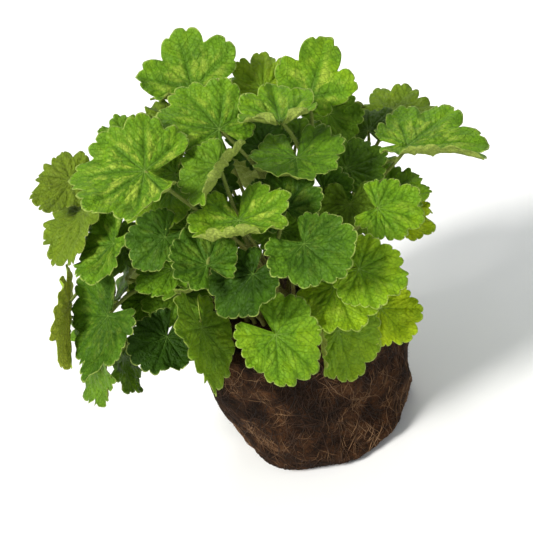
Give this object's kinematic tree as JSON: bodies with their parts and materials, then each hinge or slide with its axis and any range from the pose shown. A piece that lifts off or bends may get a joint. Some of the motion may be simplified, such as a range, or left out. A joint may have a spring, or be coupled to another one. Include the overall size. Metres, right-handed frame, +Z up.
{
  "type": "heuchera plant",
  "caption": "Leafy green heuchera plant with lobed, scalloped leaves on thin stalks, standing on its bare, root-matted soil ball.",
  "frame": {"origin": "middle of the flat underside of the root ball", "axes": "+Z up through the crown; -Y towards the side that the plant is looked at from; +X to that viewer's right"},
  "size_m": [0.2853, 0.2206, 0.2734],
  "materials": {
    "soil": "dull, fibrous",
    "crown": "rough bark",
    "leaf": "satin, finely hairy"
  },
  "bodies": {
    "root": {"root_ball": "soil", "crown": "crown", "leaf_01": "leaf", "leaf_02": "leaf", "leaf_03": "leaf", "leaf_04": "leaf", "leaf_05": "leaf", "leaf_06": "leaf", "leaf_07": "leaf", "leaf_08": "leaf", "leaf_09": "leaf", "leaf_10": "leaf", "leaf_11": "leaf", "leaf_12": "leaf", "leaf_13": "leaf", "leaf_14": "leaf", "leaf_15": "leaf", "leaf_16": "leaf", "leaf_17": "leaf", "leaf_18": "leaf", "leaf_19": "leaf", "leaf_20": "leaf", "leaf_21": "leaf", "leaf_22": "leaf", "leaf_23": "leaf", "leaf_24": "leaf", "leaf_25": "leaf", "leaf_26": "leaf", "leaf_27": "leaf", "leaf_28": "leaf", "leaf_29": "leaf", "leaf_30": "leaf", "leaf_31": "leaf", "leaf_32": "leaf", "leaf_33": "leaf", "leaf_34": "leaf", "leaf_35": "leaf", "leaf_36": "leaf", "leaf_37": "leaf", "leaf_38": "leaf", "leaf_39": "leaf", "leaf_40": "leaf", "leaf_41": "leaf", "leaf_42": "leaf", "leaf_43": "leaf", "leaf_44": "leaf", "leaf_45": "leaf", "leaf_46": "leaf", "leaf_47": "leaf", "leaf_48": "leaf", "leaf_49": "leaf", "leaf_50": "leaf", "leaf_51": "leaf", "leaf_52": "leaf", "leaf_53": "leaf", "leaf_54": "leaf", "leaf_55": "leaf", "leaf_56": "leaf", "young_leaves_1": "leaf", "young_leaves_2": "leaf"}
  },
  "joints": []
}
